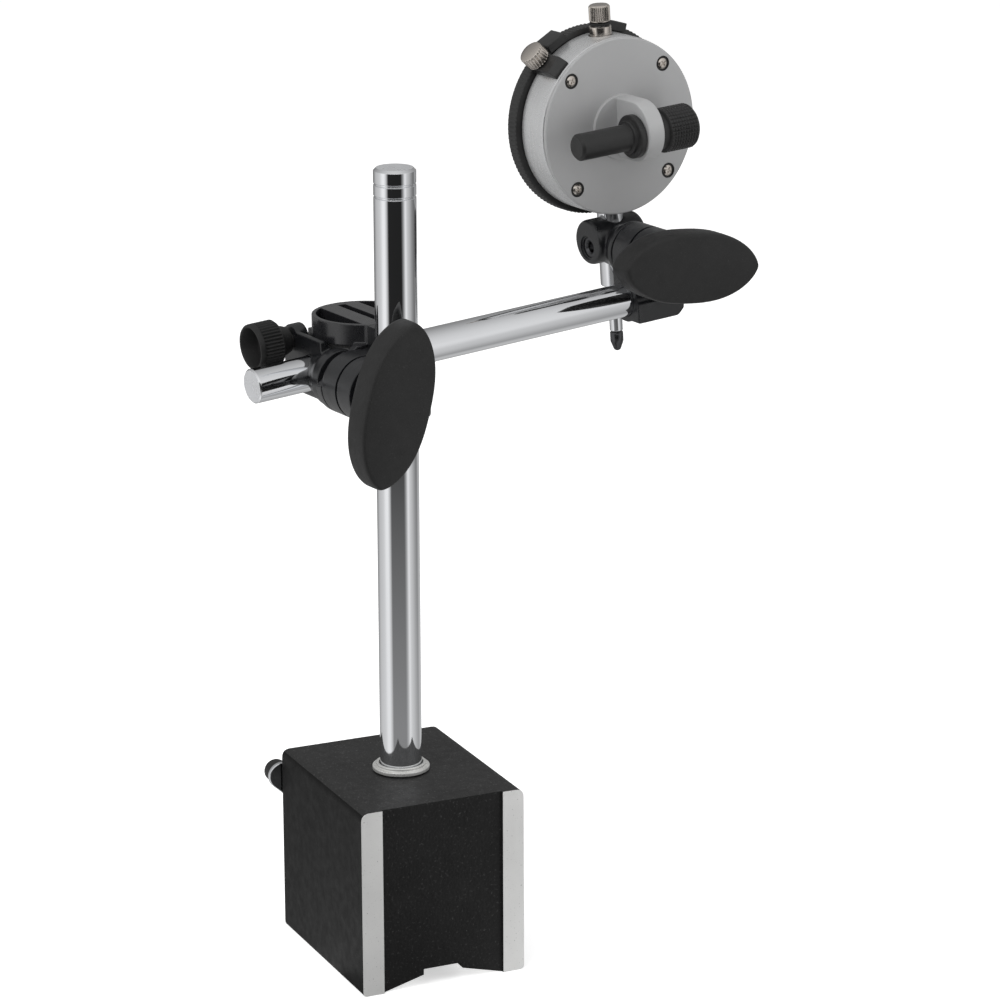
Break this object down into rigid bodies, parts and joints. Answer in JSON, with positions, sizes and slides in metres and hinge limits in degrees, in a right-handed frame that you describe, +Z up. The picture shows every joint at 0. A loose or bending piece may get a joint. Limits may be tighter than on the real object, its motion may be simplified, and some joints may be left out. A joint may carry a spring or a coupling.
{
  "type": "dial indicator on magnetic base",
  "caption": "Dial indicator held by a swivelling arm on a post above a switchable magnetic base, with clamp wings, fine adjustment and a sprung spindle that drives the pointer",
  "frame": {"origin": "middle of the left pole's ground underside, 21.55 mm left of the base's middle", "axes": "+Z up along the post, X across the base's 50 mm width, Y along its 60 mm length, with the ground strips on the -Y face and the magnet lever on the +Y face"},
  "size_m": [0.1617, 0.1037, 0.2618],
  "materials": {
    "base_paint": "fine-grained black paint over ground iron",
    "brass": "plain machined",
    "zinc_plate": "zinc plated",
    "magnet": "dull ferrite",
    "steel": "turned",
    "chrome": "mirror",
    "matte_black_plastic": "fine spark-eroded grain",
    "cast_black": "semi-gloss black over die-cast metal",
    "case_silver": "satin",
    "satin_alloy": "satin grey",
    "nickel": "satin nickel",
    "rubber_ring": "matte",
    "black_hand": "black",
    "dial_white": "matte white with black numbers",
    "crystal": "clear acrylic",
    "bezel_black": "satin black",
    "rod_black": "black oxide"
  },
  "bodies": {
    "magnetic_base": {"base_left_pole": "base_paint", "base_right_pole": "base_paint", "base_spacer": "brass", "rear_cover": "zinc_plate", "post_washer": "zinc_plate"},
    "magnet_switch": {"magnet_rotor": "magnet", "switch_shaft": "steel", "switch_lever_plate": "chrome", "switch_lever_grip": "matte_black_plastic"},
    "post": {"post": "chrome"},
    "post_clamp": {"post_clamp_block": "cast_black", "main_bolt_washer": "zinc_plate"},
    "main_wing": {"main_wing_knob": "matte_black_plastic"},
    "carrier": {"fine_adjust_carrier": "cast_black"},
    "arm_head": {"arm_head": "cast_black", "arm_head_plug": "cast_black", "main_draw_bolt": "steel"},
    "fine_screw": {"fine_adjust_screw": "steel", "fine_adjust_knob": "matte_black_plastic"},
    "arm": {"arm": "chrome"},
    "end_clamp": {"end_clamp_block": "cast_black", "end_bolt_washer": "zinc_plate"},
    "end_wing": {"end_wing_knob": "matte_black_plastic"},
    "stem_head": {"stem_head": "cast_black", "end_draw_bolt": "steel"},
    "stem": {"stem": "chrome"},
    "indicator": {"case": "case_silver", "back_plate": "satin_alloy", "plate_screw_1": "nickel", "plate_screw_2": "nickel", "plate_screw_3": "nickel", "plate_screw_4": "nickel", "upper_tube": "nickel", "movement_plate": "brass", "inner_dial": "dial_white", "bezel_lock_block": "bezel_black", "lug_rod": "rod_black", "return_spring": "steel", "hairspring": "steel"},
    "bezel": {"bezel": "bezel_black", "crystal": "crystal", "outer_dial": "dial_white", "tolerance_clip_left": "bezel_black", "tolerance_clip_right": "bezel_black"},
    "bezel_lock_screw": {"bezel_lock_screw": "nickel"},
    "lug_nut": {"lug_nut": "rod_black"},
    "spindle": {"spindle": "chrome", "contact_point": "steel", "lift_cap": "nickel", "cap_ring": "rubber_ring", "guide_pin": "steel"},
    "pointer": {"centre_pinion": "steel", "main_pointer": "black_hand"},
    "rack_wheel": {"rack_wheel": "brass", "small_pointer": "black_hand"},
    "hairspring_wheel": {"hairspring_wheel": "brass"}
  },
  "joints": [
    {"name": "magnet_switch_turn", "type": "hinge", "parent": "magnetic_base", "child": "magnet_switch", "pos_m": [0.02155, 0, 0.0285], "axis": [0, 1, 0], "range_deg": [0, 90]},
    {"name": "post_turn", "type": "hinge", "parent": "magnetic_base", "child": "post", "pos_m": [0.02155, 0, 0], "axis": [0, 0, 1], "continuous": true},
    {"name": "clamp_height", "type": "slide", "parent": "post", "child": "post_clamp", "axis": [0, 0, 1], "range_m": [-0.085, 0.044]},
    {"name": "main_wing_turn", "type": "hinge", "parent": "post_clamp", "child": "main_wing", "pos_m": [0.01106, -0.00149, 0.1696], "axis": [0.1409, -0.99, 0], "range_deg": [0, 180]},
    {"name": "arm_swivel", "type": "hinge", "parent": "post_clamp", "child": "carrier", "pos_m": [0.01106, -0.00149, 0.1696], "axis": [-0.1409, 0.99, 0], "range_deg": [-40, 30]},
    {"name": "fine_tilt", "type": "hinge", "parent": "carrier", "child": "arm_head", "pos_m": [0.01106, -0.00149, 0.1696], "axis": [-0.1409, 0.99, 0], "range_deg": [-2, 2]},
    {"name": "fine_screw_turn", "type": "hinge", "parent": "arm_head", "child": "fine_screw", "pos_m": [0.00573, 0.03209, 0.17758], "axis": [0.9877, 0.1406, 0.068], "range_deg": [-201, 201]},
    {"name": "arm_slide", "type": "slide", "parent": "arm_head", "child": "arm", "axis": [0.9877, 0.1406, 0.068], "range_m": [-0.045, 0.019]},
    {"name": "end_clamp_turn", "type": "hinge", "parent": "arm", "child": "end_clamp", "pos_m": [0.12067, 0.03835, 0.17738], "axis": [0.9877, 0.1406, 0.068], "range_deg": [-60, 60]},
    {"name": "end_wing_turn", "type": "hinge", "parent": "end_clamp", "child": "end_wing", "pos_m": [0.11988, 0.03824, 0.18915], "axis": [0.1409, -0.99, 0], "range_deg": [0, 180]},
    {"name": "end_swivel", "type": "hinge", "parent": "end_clamp", "child": "stem_head", "pos_m": [0.11988, 0.03824, 0.18915], "axis": [-0.1409, 0.99, 0], "range_deg": [-45, 45]},
    {"name": "stem_slide", "type": "slide", "parent": "stem_head", "child": "stem", "axis": [-0.0673, -0.0096, 0.9977], "range_m": [0, 0.012]},
    {"name": "indicator_turn", "type": "hinge", "parent": "stem", "child": "indicator", "pos_m": [0.1145, 0.05818, 0.22607], "axis": [-0.0673, -0.0096, 0.9977], "range_deg": [-90, 90]},
    {"name": "bezel_turn", "type": "hinge", "parent": "indicator", "child": "bezel", "pos_m": [0.1145, 0.05818, 0.22607], "axis": [-0.1409, 0.99, 0], "range_deg": [0, 270]},
    {"name": "bezel_lock_turn", "type": "hinge", "parent": "indicator", "child": "bezel_lock_screw", "pos_m": [0.09239, 0.05806, 0.24657], "axis": [-0.7229, -0.1029, 0.6833], "range_deg": [0, 180]},
    {"name": "lug_nut_turn", "type": "hinge", "parent": "indicator", "child": "lug_nut", "pos_m": [0.11714, 0.04007, 0.22517], "axis": [0.9877, 0.1406, 0.068], "range_deg": [0, 360]},
    {"name": "spindle_slide", "type": "slide", "parent": "indicator", "child": "spindle", "axis": [-0.0673, -0.0096, 0.9977], "range_m": [0, 0.01]},
    {"name": "pointer_turn", "type": "hinge", "parent": "indicator", "child": "pointer", "pos_m": [0.1145, 0.05818, 0.22607], "axis": [-0.1409, 0.99, 0], "range_deg": [-3601, 1]},
    {"name": "rack_wheel_turn", "type": "hinge", "parent": "indicator", "child": "rack_wheel", "pos_m": [0.1167, 0.05849, 0.23386], "axis": [-0.1409, 0.99, 0], "range_deg": [-1, 361]},
    {"name": "hairspring_wheel_turn", "type": "hinge", "parent": "indicator", "child": "hairspring_wheel", "pos_m": [0.11773, 0.05864, 0.21865], "axis": [-0.1409, 0.99, 0], "range_deg": [-1, 361]}
  ],
  "couplings": [
    {"joint": "fine_screw_turn", "follows": "fine_tilt", "ratio": 100},
    {"joint": "pointer_turn", "follows": "spindle_slide", "rad_per_m": -6283.2},
    {"joint": "rack_wheel_turn", "follows": "spindle_slide", "rad_per_m": 628.32},
    {"joint": "hairspring_wheel_turn", "follows": "spindle_slide", "rad_per_m": 628.32}
  ]
}
